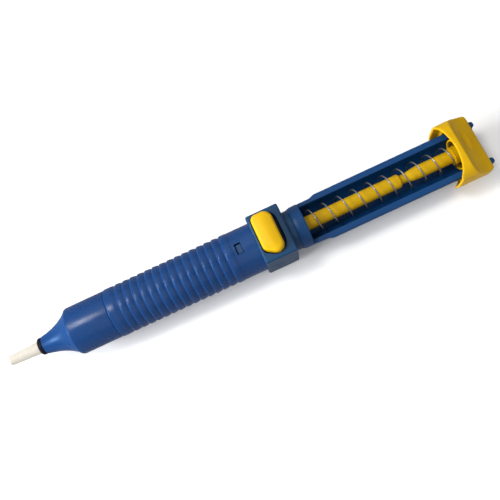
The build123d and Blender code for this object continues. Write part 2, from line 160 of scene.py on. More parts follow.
class Graph:
    """One material's node tree."""

    def __init__(self, name: str) -> None:
        """Make the material and empty its tree.

        Args:
            name: the material's name.
        """
        self.material = bpy.data.materials.new(name)
        self.material.use_nodes = True
        self.tree = self.material.node_tree
        self.tree.nodes.clear()

    def node(
        self, kind: str, settings: Optional[dict] = None, inputs: Optional[dict] = None
    ) -> Outputs:
        """Add a node.

        Args:
            kind: the node's type.
            settings: its own settings, set first.
            inputs: values or Exprs by the input's name or number.

        Returns:
            The node's outputs.
        """
        made = self.tree.nodes.new(kind)
        for key, value in (settings or {}).items():
            setattr(made, key, value)
        for key, value in (inputs or {}).items():
            self._feed(made.inputs[key], value)
        return Outputs(self, made)

    def _feed(self, socket: bpy.types.NodeSocket, value: Value) -> None:
        """Link an Expr to a socket, or set the socket's own value.

        Args:
            socket: the input socket.
            value: what it gets; a colour gains its alpha.
        """
        if isinstance(value, Expr):
            self.tree.links.new(value.socket, socket)
        elif isinstance(value, tuple) and len(value) == 3 and socket.type == "RGBA":
            socket.default_value = (*value, 1.0)
        else:
            socket.default_value = value

    def place(self) -> Expr:
        """Where the surface point is on the object, in metres."""
        return self.node("ShaderNodeTexCoord")["Object"]

    def noise(self, scale: float, detail: float = 2.0, stretch: Point = (1, 1, 1)) -> Expr:
        """Noise from 0 to 1 over the object.

        Args:
            scale: cells in a metre.
            detail: octaves.
            stretch: scaling of the coordinates along each axis.

        Returns:
            The noise value.
        """
        mapping = self.node("ShaderNodeMapping", None, {"Vector": self.place(), "Scale": stretch})
        inputs = {"Vector": mapping["Vector"], "Scale": scale, "Detail": detail}
        inputs["Roughness"] = NOISE_ROUGHNESS
        return self.node("ShaderNodeTexNoise", None, inputs)["Fac"]

    def mix(self, factor: Value, low: Union[Expr, Colour], high: Union[Expr, Colour]) -> Expr:
        """Mix two colours.

        Args:
            factor: 0 gives low and 1 gives high.
            low: the first colour.
            high: the second colour.

        Returns:
            The mixed colour.
        """
        inputs = {"Factor": factor, COLOUR_LOW: low, COLOUR_HIGH: high}
        return self.node("ShaderNodeMix", {"data_type": "RGBA"}, inputs)[COLOUR_RESULT]

    def bump(self, height: Expr, depth: float) -> Expr:
        """Turn a height from 0 to 1 into a surface normal.

        Args:
            height: the height.
            depth: metres that a height of 1 stands for.

        Returns:
            The new normal.
        """
        inputs = {"Height": height, "Distance": depth, "Strength": 1.0}
        return self.node("ShaderNodeBump", None, inputs)["Normal"]

    def finish(self, **sockets: Value) -> bpy.types.Material:
        """Close the tree with a Principled shader.

        Args:
            sockets: the shader's inputs, with underscores for spaces.

        Returns:
            The finished material.
        """
        inputs = {key.replace("_", " "): value for key, value in sockets.items()}
        shader = self.node("ShaderNodeBsdfPrincipled", None, inputs)
        self.node("ShaderNodeOutputMaterial", None, {"Surface": shader["BSDF"]})
        return self.material


# ---------------------------------------------------------------- finishes


@dataclass(frozen=True)
class MouldedPlastic:
    """Injection-moulded plastic: satin skin, faint flow marks, handling smudges and fine scuffs."""

    name: str
    colour: Colour
    shade: Colour
    rubbed: Colour
    roughness: float = 0.38
    grain: float = 0.000012
    specular: float = 0.5
    flow_share: float = 0.75
    mottle_share: float = 0.22
    scuff_share: float = 0.2
    smudge_roughness: float = 0.08
    scuff_roughness: float = 0.12
    mottle_roughness: float = 0.04

    def material(self) -> bpy.types.Material:
        """Build the material.

        Returns:
            The node material.
        """
        graph = Graph(self.name)
        flow = graph.noise(scale=90.0, detail=3.0, stretch=(0.35, 1.0, 1.0))
        mottle = graph.noise(scale=900.0, detail=3.0)
        smudge = graph.noise(scale=160.0, detail=4.0).band(low=0.42, high=0.72)
        scuff = graph.noise(scale=2600.0, detail=2.0, stretch=(0.12, 1.0, 1.0)).band(low=0.66, high=0.78)
        skin = graph.noise(scale=5200.0, detail=2.0)
        streaks = flow.band(low=0.3, high=0.75) * self.flow_share
        patches = mottle.band(low=0.35, high=0.8) * self.mottle_share
        body = graph.mix(streaks, self.colour, self.shade)
        body = graph.mix(patches, body, self.shade)
        body = graph.mix(scuff * self.scuff_share, body, self.rubbed)
        rough = self.roughness + smudge * self.smudge_roughness + scuff * self.scuff_roughness
        rough = rough + mottle * self.mottle_roughness
        normal = graph.bump(skin, self.grain)
        return graph.finish(
            Base_Color=body,
            Roughness=rough,
            Normal=normal,
            IOR=1.46,
            Specular_IOR_Level=self.specular,
        )


@dataclass(frozen=True)
class WaxyPtfe:
    """White PTFE: waxy, cloudy and slightly see-through."""

    name: str = "white_ptfe"
    colour: Colour = (0.55, 0.52, 0.455)
    shade: Colour = (0.46, 0.43, 0.365)
    roughness: float = 0.42
    cloud_roughness: float = 0.12
    cloud_share: float = 0.6
    grain: float = 0.000005

    def material(self) -> bpy.types.Material:
        """Build the material.

        Returns:
            The node material.
        """
        graph = Graph(self.name)
        cloud = graph.noise(scale=500.0, detail=3.0)
        skin = graph.noise(scale=3800.0, detail=3.0, stretch=(0.3, 1.0, 1.0))
        body = graph.mix(cloud.band(low=0.35, high=0.8) * self.cloud_share, self.colour, self.shade)
        return graph.finish(
            Base_Color=body,
            Roughness=self.roughness + cloud * self.cloud_roughness,
            Normal=graph.bump(skin, self.grain),
            IOR=1.36,
            Subsurface_Weight=0.25,
            Subsurface_Radius=(0.0015, 0.0013, 0.001),
        )


@dataclass(frozen=True)
class SoftRubber:
    """Black rubber with a dusty bloom."""

    name: str = "black_rubber"
    colour: Colour = (0.003, 0.0035, 0.008)
    bloom: Colour = (0.012, 0.013, 0.018)
    roughness: float = 0.5
    dust_roughness: float = 0.2
    grain: float = 0.00002

    def material(self) -> bpy.types.Material:
        """Build the material.

        Returns:
            The node material.
        """
        graph = Graph(self.name)
        dust = graph.noise(scale=1400.0, detail=4.0).band(low=0.45, high=0.75)
        skin = graph.noise(scale=6500.0, detail=2.0)
        return graph.finish(
            Base_Color=graph.mix(dust, self.colour, self.bloom),
            Roughness=self.roughness + dust * self.dust_roughness,
            Specular_IOR_Level=0.2,
            Normal=graph.bump(skin, self.grain),
        )


@dataclass(frozen=True)
class DrawnSteel:
    """Drawn or rolled steel: fine lines along it and a thin oxide haze."""

    name: str
    colour: Colour = (0.42, 0.4, 0.37)
    haze: Colour = (0.2, 0.17, 0.14)
    roughness: float = 0.28
    line_roughness: float = 0.12
    cloud_roughness: float = 0.1
    cloud_share: float = 0.6
    grain: float = 0.000006

    def material(self) -> bpy.types.Material:
        """Build the material.

        Returns:
            The node material.
        """
        graph = Graph(self.name)
        lines = graph.noise(scale=9000.0, detail=2.0, stretch=(0.1, 1.0, 1.0))
        cloud = graph.noise(scale=700.0, detail=3.0).band(low=0.4, high=0.75)
        return graph.finish(
            Base_Color=graph.mix(cloud * self.cloud_share, self.colour, self.haze),
            Metallic=1.0,
            Roughness=self.roughness + lines * self.line_roughness + cloud * self.cloud_roughness,
            Normal=graph.bump(lines, self.grain),
        )


class Finish(Enum):
    """The finishes of the pump, by the record's material slot."""

    BARREL = "blue_barrel"
    HOUSING = "blue_housing"
    GUARD = "blue_guard"
    BUTTON = "yellow_button"
    HEAD = "yellow_head"
    ROD = "yellow_rod"
    NOZZLE = "white_nozzle"
    RUBBER = "black_rubber"
    ACETAL = "natural_acetal"
    SPRING = "spring_steel"
    ZINC = "zinc_steel"


def make_finishes() -> dict[Finish, bpy.types.Material]:
    """Build every finish once.

    Returns:
        The material of each finish.
    """
    recipes = {
        Finish.BARREL: MouldedPlastic(
            "barrel_blue",
            colour=(0.004, 0.042, 0.16),
            shade=(0.003, 0.034, 0.135),
            rubbed=(0.03, 0.1, 0.3),
            roughness=0.25,
            specular=0.42,
        ),
        Finish.HOUSING: MouldedPlastic(
            "housing_blue",
            colour=(0.004, 0.043, 0.118),
            shade=(0.003, 0.034, 0.096),
            rubbed=(0.03, 0.1, 0.2),
            roughness=0.34,
            specular=0.35,
        ),
        Finish.GUARD: MouldedPlastic(
            "guard_blue",
            colour=(0.003, 0.044, 0.15),
            shade=(0.002, 0.035, 0.12),
            rubbed=(0.02, 0.09, 0.26),
            roughness=0.36,
            specular=0.3,
        ),
        Finish.BUTTON: MouldedPlastic(
            "button_yellow",
            colour=(0.64, 0.385, 0.0015),
            shade=(0.58, 0.335, 0.0015),
            rubbed=(0.8, 0.55, 0.04),
            roughness=0.4,
            specular=0.22,
        ),
        Finish.HEAD: MouldedPlastic(
            "head_yellow",
            colour=(0.6, 0.355, 0.001),
            shade=(0.52, 0.285, 0.001),
            rubbed=(0.75, 0.5, 0.03),
            roughness=0.4,
            specular=0.2,
        ),
        Finish.ROD: MouldedPlastic(
            "rod_yellow",
            colour=(0.55, 0.33, 0.0015),
            shade=(0.48, 0.27, 0.0015),
            rubbed=(0.7, 0.45, 0.03),
            roughness=0.38,
            specular=0.22,
        ),
        Finish.NOZZLE: WaxyPtfe(),
        Finish.RUBBER: SoftRubber(),
        Finish.ACETAL: WaxyPtfe("natural_acetal", colour=(0.78, 0.75, 0.68), shade=(0.7, 0.67, 0.6)),
        Finish.SPRING: DrawnSteel("spring_wire"),
        Finish.ZINC: DrawnSteel(
            "zinc_plate",
            colour=(0.6, 0.61, 0.63),
            haze=(0.4, 0.4, 0.4),
            roughness=0.32,
        ),
    }
    return {finish: recipe.material() for finish, recipe in recipes.items()}


def dress(piece: bpy.types.Object, material: bpy.types.Material) -> None:
    """Give a piece one material all over.

    Args:
        piece: a new piece or a CAD node.
        material: the finish.
    """
    slots = piece.data.materials
    if not slots:
        slots.append(material)
    for index in range(len(slots)):
        slots[index] = material


# ---------------------------------------------------------------- modelling by hand


Outline = Sequence[tuple[float, float]]
NOZZLE_LOW, NOZZLE_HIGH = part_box("nozzle_tip")
AXIS_Z = (NOZZLE_LOW[2] + NOZZLE_HIGH[2]) / 2
MERGE_DISTANCE = 0.000002


def open_for_editing(piece: bpy.types.Object, kind: str = "VERT") -> None:
    """Open one piece in edit mode with nothing selected.

    Args:
        piece: the piece to shape.
        kind: what is selected in it: VERT, EDGE or FACE.
    """
    bpy.ops.object.select_all(action="DESELECT")
    piece.select_set(True)
    bpy.context.view_layer.objects.active = piece
    bpy.ops.object.mode_set(mode="EDIT")
    bpy.ops.mesh.select_mode(type=kind)
    bpy.ops.mesh.select_all(action="DESELECT")


def pick(piece: bpy.types.Object, kind: str, test: Callable[[object], bool]) -> int:
    """Select the parts of an open mesh that pass a test.

    Args:
        piece: the piece in edit mode.
        kind: VERT, EDGE or FACE.
        test: takes a bmesh element and says whether it is wanted.

    Returns:
        How many were selected.
    """
    mesh = bmesh.from_edit_mesh(piece.data)
    wanted = {"VERT": mesh.verts, "EDGE": mesh.edges, "FACE": mesh.faces}[kind]
    chosen = [element for element in wanted if test(element)]
    for element in chosen:
        element.select_set(True)
    bmesh.update_edit_mesh(piece.data)
    return len(chosen)


def close_mesh(piece: bpy.types.Object) -> None:
    """Merge doubles and turn every face outwards, then leave edit mode.

    Args:
        piece: the piece in edit mode.
    """
    bpy.ops.mesh.select_all(action="SELECT")
    bpy.ops.mesh.remove_doubles(threshold=MERGE_DISTANCE)
    bpy.ops.mesh.normals_make_consistent(inside=False)
    bpy.ops.object.mode_set(mode="OBJECT")


def smooth(piece: bpy.types.Object, degrees: float = 32.0) -> None:
    """Shade a piece smooth, with edges sharper than an angle left crisp.

    Args:
        piece: the piece.
        degrees: the angle.
    """
    bpy.ops.object.select_all(action="DESELECT")
    piece.select_set(True)
    bpy.context.view_layer.objects.active = piece
    bpy.ops.object.shade_smooth_by_angle(angle=math.radians(degrees))


def apply_modifier(piece: bpy.types.Object, kind: str, **settings: object) -> None:
    """Add one modifier and apply it.

    Args:
        piece: the piece.
        kind: the modifier's type.
        settings: its settings.
    """
    bpy.ops.object.select_all(action="DESELECT")
    piece.select_set(True)
    bpy.context.view_layer.objects.active = piece
    modifier = piece.modifiers.new(kind.lower(), kind)
    for key, value in settings.items():
        setattr(modifier, key, value)
    bpy.ops.object.modifier_apply(modifier=modifier.name)


def arc(centre: tuple[float, float], radius: float, start: float, end: float, steps: int = 5) -> list:
    """Points along an arc.

    Args:
        centre: its centre in millimetres.
        radius: its radius in millimetres.
        start: its first angle in degrees, from +X towards the second axis.
        end: its last angle.
        steps: how many chords it has.

    Returns:
        The points, both ends included.
    """
    angles = [math.radians(start + (end - start) * step / steps) for step in range(steps + 1)]
    return [(centre[0] + radius * math.cos(a), centre[1] + radius * math.sin(a)) for a in angles]


def lathe(name: str, profile: Outline, sides: int = 128) -> bpy.types.Object:
    """Turn a closed half-section about the pump's axis, ring by ring.

    Args:
        name: the piece's name.
        profile: (x, radius) corners in millimetres, in order round the section.
        sides: how many sides each ring has.

    Returns:
        The turned piece.
    """
    x, radius = profile[0]
    bpy.ops.object.select_all(action="DESELECT")
    bpy.ops.mesh.primitive_circle_add(
        vertices=sides, radius=radius * MM, location=(x * MM, 0, AXIS_Z), rotation=(0, math.pi / 2, 0)
    )
    piece = bpy.context.object
    piece.name = piece.data.name = name
    bpy.ops.object.transform_apply(location=True, rotation=True, scale=True)
    open_for_editing(piece)
    bpy.ops.mesh.select_all(action="SELECT")
    for next_x, next_radius in [*profile[1:], profile[0]]:
        step = ((next_x - x) * MM, 0, 0)
        bpy.ops.mesh.extrude_region_move(TRANSFORM_OT_translate={"value": step})
        swell = next_radius / radius
        bpy.ops.transform.resize(value=(1, swell, swell), center_override=(next_x * MM, 0, AXIS_Z))
        x, radius = next_x, next_radius
    close_mesh(piece)
    smooth(piece)
    return piece


def cut_box(piece: bpy.types.Object, low: Point, high: Point) -> None:
    """Cut a box out of a piece.

    Args:
        piece: the piece.
        low: the box's lowest corner in metres.
        high: its highest corner.
    """
    bpy.ops.object.select_all(action="DESELECT")
    middle = [(a + b) / 2 for a, b in zip(low, high)]
    bpy.ops.mesh.primitive_cube_add(size=1, location=middle)
    cutter = bpy.context.object
    cutter.scale = [b - a for a, b in zip(low, high)]
    bpy.ops.object.transform_apply(location=True, rotation=True, scale=True)
    apply_modifier(piece, "BOOLEAN", operation="DIFFERENCE", solver="EXACT", object=cutter)
    bpy.data.objects.remove(cutter, do_unlink=True)


def stand_for(piece: bpy.types.Object, node: str, body: str) -> None:
    """Put a new piece in a CAD node's place.

    Args:
        piece: the new piece.
        node: the CAD node that it replaces.
        body: the body that it moves with.
    """
    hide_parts(node)
    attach(piece, body)
    log.info("%s stands for %s", piece.name, node)


@dataclass
class Nose:
    """The front end: the PTFE nozzle, its rubber grommet and the screwed nose cone."""

    finishes: dict[Finish, bpy.types.Material]
    bore: float = 1.2
    bore_round: float = 0.35
    tip_radius: float = 2.25
    base_radius: float = 2.75
    tip_round: float = 1.7
    tip_angles: range = range(9, 91, 9)
    nozzle_sides: int = 72
    grommet_radius: float = 3.77
    grommet_inner: float = 2.8
    grommet_lip: float = 3.2
    grommet_bulge: float = 0.85
    grommet_inset: float = 0.1
    grommet_back: float = 0.45
    grommet_sides: int = 96
    front_radius: float = 3.95
    front_round: float = 0.3
    flare_reach: float = 4.5
    flare_slopes: tuple[float, float] = (0.17, 0.8)
    flare_points: int = 28
    shoulder: tuple[float, float] = (-79.9, 9.6)
    shoulder_rear: float = -78.4
    shoulder_angles: range = range(12, 91, 13)
    radius: float = 10.45
    rear_round: float = 0.22
    wall_radius: float = 9.5
    wall_front: float = -68.35
    chamber_radius: float = 8.5
    chamber_front: float = -77.9
    funnel: Outline = ((-82.5, 5.8), (-86.8, 3.4))
    seat_depth: float = 2.0
    seat_gap: float = 0.05

    def build(self) -> None:
        """Build and dress the three pieces."""
        nozzle = self._nozzle()
        dress(nozzle, self.finishes[Finish.NOZZLE])
        stand_for(nozzle, "nozzle_tip", "housing")
        grommet = self._grommet()
        dress(grommet, self.finishes[Finish.RUBBER])
        stand_for(grommet, "tip_grommet", "housing")
        cone = self._cone()
        dress(cone, self.finishes[Finish.BARREL])
        stand_for(cone, "nose_cone", "housing")

    def _nozzle(self) -> bpy.types.Object:
        """The tapered nozzle with its rounded end and open bore.

        Returns:
            The nozzle.
        """
        end, seat = NOZZLE_LOW[0] / MM, NOZZLE_HIGH[0] / MM
        grommet_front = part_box("tip_grommet")[0][0] / MM
        inner = self.bore + self.bore_round
        mouth = arc((end + self.bore_round, inner), self.bore_round, 270, 180, steps=4)
        wall = self.tip_radius - self.bore - self.bore_round
        rim = [
            (end + self.tip_round * (1 - math.cos(a)), inner + wall * math.sin(a))
            for a in (math.radians(angle) for angle in self.tip_angles)
        ]
        body = [(grommet_front, self.base_radius), (seat, self.base_radius), (seat, self.bore)]
        return lathe("nozzle", [*mouth, *rim, *body], self.nozzle_sides)

    def _grommet(self) -> bpy.types.Object:
        """The bulging rubber ring, with the lip that sits inside the cone.

        Returns:
            The grommet.
        """
        front, rear = (corner[0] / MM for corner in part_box("tip_grommet"))
        nose_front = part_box("nose_cone")[0][0] / MM
        bulge, turn = self.grommet_bulge, self.grommet_back
        start = (front + self.grommet_inset, self.grommet_inner)
        face = arc((front + bulge, self.grommet_radius - bulge), bulge, 180, 90, steps=6)
        back = arc((nose_front - turn, self.grommet_radius - turn), turn, 90, 0, steps=4)
        lip = [(nose_front, self.grommet_lip), (rear, self.grommet_lip), (rear, self.grommet_inner)]
        return lathe("grommet", [start, *face, *back, *lip], self.grommet_sides)

    def _flare(self) -> list:
        """The cone's outside, a long curve from the grommet to the shoulder.

        Returns:
            Its (x, radius) points in millimetres, front to rear.
        """
        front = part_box("nose_cone")[0][0] / MM
        reach = self.flare_reach
        front_slope, rear_slope = self.flare_slopes
        x, radius = self.shoulder
        knots = (
            Vector((front + self.front_round, self.front_radius, 0)),
            Vector((front + reach, self.front_radius + reach * front_slope, 0)),
            Vector((x - reach, radius - reach * rear_slope, 0)),
            Vector((x, radius, 0)),
        )
        return [(point.x, point.y) for point in interpolate_bezier(*knots, self.flare_points)]

    def _cone(self) -> bpy.types.Object:
        """The hollow cone: flare, crease, shoulder, plain band and the chamber inside.

        Returns:
            The cone.
        """
        front, rear = (corner[0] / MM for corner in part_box("nose_cone"))
        turn = self.front_round
        rim = arc((front + turn, self.front_radius - turn), turn, 180, 100, steps=4)
        crease_x, crease_radius = self.shoulder
        turn_in = self.shoulder_rear - crease_x
        rise = self.radius - crease_radius
        shoulder = [
            (self.shoulder_rear - turn_in * math.cos(a), crease_radius + rise * math.sin(a))
            for a in (math.radians(angle) for angle in self.shoulder_angles)
        ]
        turn = self.rear_round
        skirt = arc((rear - turn, self.radius - turn), turn, 90, 0, steps=4)
        seat, seat_radius = front + self.seat_depth, self.grommet_lip + self.seat_gap
        inside = [
            (rear, self.wall_radius),
            (self.wall_front, self.wall_radius),
            (self.wall_front, self.chamber_radius),
            (self.chamber_front, self.chamber_radius),
            *self.funnel,
            (self.funnel[-1][0], self.grommet_inner),
            (seat, self.grommet_inner),
            (seat, seat_radius),
            (front, seat_radius),
        ]
        return lathe("nose", [*rim, *self._flare(), *shoulder, *skirt, *inside])


@dataclass
class Grip:
    """The barrel: front seam ring, fifteen soft ribs, the plain rear band and the snap window.

    front_land says how far ahead of the first rib each point is and how far it falls. The last
    rib stops last_points early, where the plain band begins.
    """

    finishes: dict[Finish, bpy.types.Material]
    radius: float = 10.7
    plain_radius: float = 10.56
    bore: float = 8.5
    lip_radius: float = 9.45
    lip_rear: float = -61.5
    rib_count: int = 15
    rib_pitch: float = 3.39
    first_rib: float = -56.0
    groove_depth: float = 0.46
    bead: float = 0.72
    bed: float = 0.25
    last_points: int = 9
    front_land: Outline = ((2.2, 0.0), (1.1, 0.12))
    plain_front: float = -5.1
    step_inset: float = 0.15
    step_round: float = 0.14
    window: tuple[float, float] = (-3.7, -0.9)
    window_half: float = 2.3
    window_heights: tuple[float, float] = (5.0, 12.0)
    sides: int = 144

    def build(self) -> None:
        """Build and dress the barrel."""
        barrel = lathe("grip_barrel", self._profile(), self.sides)
        (front, rear), (floor, roof) = self.window, self.window_heights
        low = (front * MM, -self.window_half * MM, AXIS_Z + floor * MM)
        high = (rear * MM, self.window_half * MM, AXIS_Z + roof * MM)
        cut_box(barrel, low, high)
        smooth(barrel)
        dress(barrel, self.finishes[Finish.BARREL])
        stand_for(barrel, "barrel", "housing")

    def _rib(self, edge: float) -> list:
        """One rib: a bead that rises steeply in front and a land that falls away behind it.

        Args:
            edge: where the bead starts.

        Returns:
            The corners in order, without the foot of the next bead.
        """
        steepest = math.degrees(math.acos(1 - self.groove_depth / self.bead))
        reach = self.bead * math.sin(math.radians(steepest))
        bead = arc((edge + reach, self.radius - self.bead), self.bead, 90 + steepest, 90, steps=10)
        length = self.rib_pitch - reach - self.bed
        roll = (length**2 + self.groove_depth**2) / (2 * self.groove_depth)
        slope = math.degrees(math.asin(length / roll))
        land = arc((edge + reach, self.radius - roll), roll, 90, 90 - slope, steps=9)
        return [*bead, *land[1:]]

    def _profile(self) -> list:
        """The barrel's half-section.

        Returns:
            Its (x, radius) corners in millimetres.
        """
        front, rear = (corner[0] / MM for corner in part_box("barrel"))
        lip = [(front, self.bore), (front, self.lip_radius), (self.lip_rear, self.lip_radius)]
        seam_x = self.lip_rear + self.bead
        seam = arc((seam_x, self.radius - self.bead), self.bead, 180, 90, steps=6)
        start = self.first_rib - self.bed
        land = [(start - back, self.radius - fall) for back, fall in self.front_land]
        land.append((start, self.radius - self.groove_depth))
        ribs = []
        for index in range(self.rib_count):
            ribs += self._rib(self.first_rib + index * self.rib_pitch)
        ribs = ribs[: -self.last_points]
        inset = self.step_inset
        step = arc((self.plain_front - inset, self.radius - inset), self.step_round, 90, 5, steps=3)
        plain = [(self.plain_front, self.plain_radius), (rear, self.plain_radius), (rear, self.bore)]
        return [*lip, *seam, *land, *ribs, *step, *plain]


@dataclass
class WireSpring:
    """A compression spring of round wire with closed ends.

    closed_pitch is in wire radii a turn, and opening_share is the part of a pitch over which the
    coils open.
    """

    start: Point
    along_x: bool
    length: float
    coil_radius: float
    wire_radius: float
    pitch: float
    phase: float = 0.0
    samples: int = 30
    closed_pitch: float = 2.04
    opening_share: float = 0.35

    def _pitch_at(self, reached: float, span: float) -> float:
        """The local pitch: closed at both ends and open between.

        Args:
            reached: how far the wire has come along the spring.
            span: the whole way between the end coils' middles.

        Returns:
            The pitch there, in millimetres a turn.
        """
        closed = self.closed_pitch * self.wire_radius
        edge = min(reached, span - reached)
        opening = min(max((edge - closed) / (self.opening_share * self.pitch), 0.0), 1.0)
        return closed + (self.pitch - closed) * opening * opening * (3 - 2 * opening)

    def build(self, name: str) -> bpy.types.Object:
        """Wind the wire.

        Args:
            name: the piece's name.

        Returns:
            The spring as a mesh.
        """
        span = self.length - 2 * self.wire_radius
        turns, reached, path = 0.0, 0.0, []
        while reached < span:
            path.append((reached, turns))
            turns += 1 / self.samples
            reached += self._pitch_at(reached, span) / self.samples
        path.append((span, turns))
        middle = min(path, key=lambda step: abs(step[0] - span / 2))[1]
        curve = bpy.data.curves.new(name, "CURVE")
        curve.dimensions = "3D"
        curve.bevel_depth = self.wire_radius * MM
        curve.bevel_resolution = 3
        curve.use_fill_caps = True
        wire = curve.splines.new("POLY")
        wire.points.add(len(path) - 1)
        for point, (reached, turned) in zip(wire.points, path):
            angle = math.radians(self.phase + 360 * (turned - middle))
            side, rise = self.coil_radius * math.cos(angle), self.coil_radius * math.sin(angle)
            ahead = reached + self.wire_radius
            offset = (ahead, side, rise) if self.along_x else (side, rise, ahead)
            point.co = (*((a + b) * MM for a, b in zip(self.start, offset)), 1.0)
        spring = bpy.data.objects.new(name, curve)
        bpy.context.scene.collection.objects.link(spring)
        bpy.ops.object.select_all(action="DESELECT")
        spring.select_set(True)
        bpy.context.view_layer.objects.active = spring
        bpy.ops.object.convert(target="MESH")
        spring = bpy.context.object
        open_for_editing(spring)
        close_mesh(spring)
        smooth(spring, degrees=60.0)
        return spring


@dataclass
class Springs:
    """The long return spring round the rod, and the two small ones under the button."""

    finishes: dict[Finish, bpy.types.Material]
    stroke: float = 60.5
    press: float = 1.8
    seat_gap: float = 0.25
    main_coil: float = 5.1
    main_wire: float = 0.35
    main_pitch: float = 6.8
    main_phase: float = 262.3
    well: tuple[float, float] = (8.8, 5.0)
    well_sink: float = 0.05
    button_coil: float = 1.3
    button_wire: float = 0.2
    button_pitch: float = 0.85

    def build(self) -> None:
        """Wind, dress and seat the springs."""
        self._main_spring()
        self._button_springs()

    def _main_spring(self) -> None:
        """The return spring, from the washer to the head's cup."""
        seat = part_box("spring_washer")[1][0] / MM
        cup_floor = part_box("plunger_rod")[1][0] / MM
        length = cup_floor - seat - self.seat_gap
        axis = AXIS_Z / MM
        coil = WireSpring(
            start=(seat, 0, axis),
            along_x=True,
            length=length,
            coil_radius=self.main_coil,
            wire_radius=self.main_wire,
            pitch=self.main_pitch,
            phase=self.main_phase,
        )
        spring = coil.build("return_spring")
        dress(spring, self.finishes[Finish.SPRING])
        stand_for(spring, "main_spring", "housing")
        keep = (length - self.stroke) / length
        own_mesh(spring)

    def _button_springs(self) -> None:
        """The two small springs that lift the button."""
        well_x, well_y = self.well
        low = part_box("button_springs")[0]
        floor = low[2] / MM - self.well_sink
        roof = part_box("release_button")[0][2] / MM
        length = roof - floor
        pair = []
        for side in (-1, 1):
            coil = WireSpring(
                start=(well_x, side * well_y, floor),
                along_x=False,
                length=length,
                coil_radius=self.button_coil,
                wire_radius=self.button_wire,
                pitch=self.button_pitch,
            )
            pair.append(coil.build("button_spring"))
        bpy.ops.object.select_all(action="DESELECT")
        for spring in pair:
            spring.select_set(True)
        bpy.context.view_layer.objects.active = pair[0]
        bpy.ops.object.join()
        springs = bpy.context.object
        springs.name = springs.data.name = "button_spring_pair"
        dress(springs, self.finishes[Finish.SPRING])
        stand_for(springs, "button_springs", "housing")
        anchor = (well_x * MM, 0, floor * MM)
        keep = (length - self.press) / length
        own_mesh(springs)


def softened(
    name: str, node: str, voxel: float, passes: int, cutters: Sequence[bpy.types.Object] = ()
) -> bpy.types.Object:
    """Copy a CAD node and round its edges as a mould does.

    Args:
        name: the new piece's name.
        node: the CAD node to copy.
        voxel: the remesh size in millimetres.
        passes: how many times the surface is relaxed.
        cutters: solids to cut away first, which are used up.

    Returns:
        The softened piece.
    """
    piece = bpy.data.objects.new(name, frame["nodes"][node].data.copy())
    piece.data.name = name
    piece.data.materials.clear()
    bpy.context.scene.collection.objects.link(piece)
    open_for_editing(piece)
    close_mesh(piece)
    for cutter in cutters:
        apply_modifier(piece, "BOOLEAN", operation="DIFFERENCE", solver="EXACT", object=cutter)
        bpy.data.objects.remove(cutter, do_unlink=True)
    apply_modifier(piece, "REMESH", mode="VOXEL", voxel_size=voxel * MM)
    apply_modifier(piece, "SMOOTH", factor=0.5, iterations=passes)
    open_for_editing(piece)
    close_mesh(piece)
    smooth(piece, degrees=60.0)
    return piece


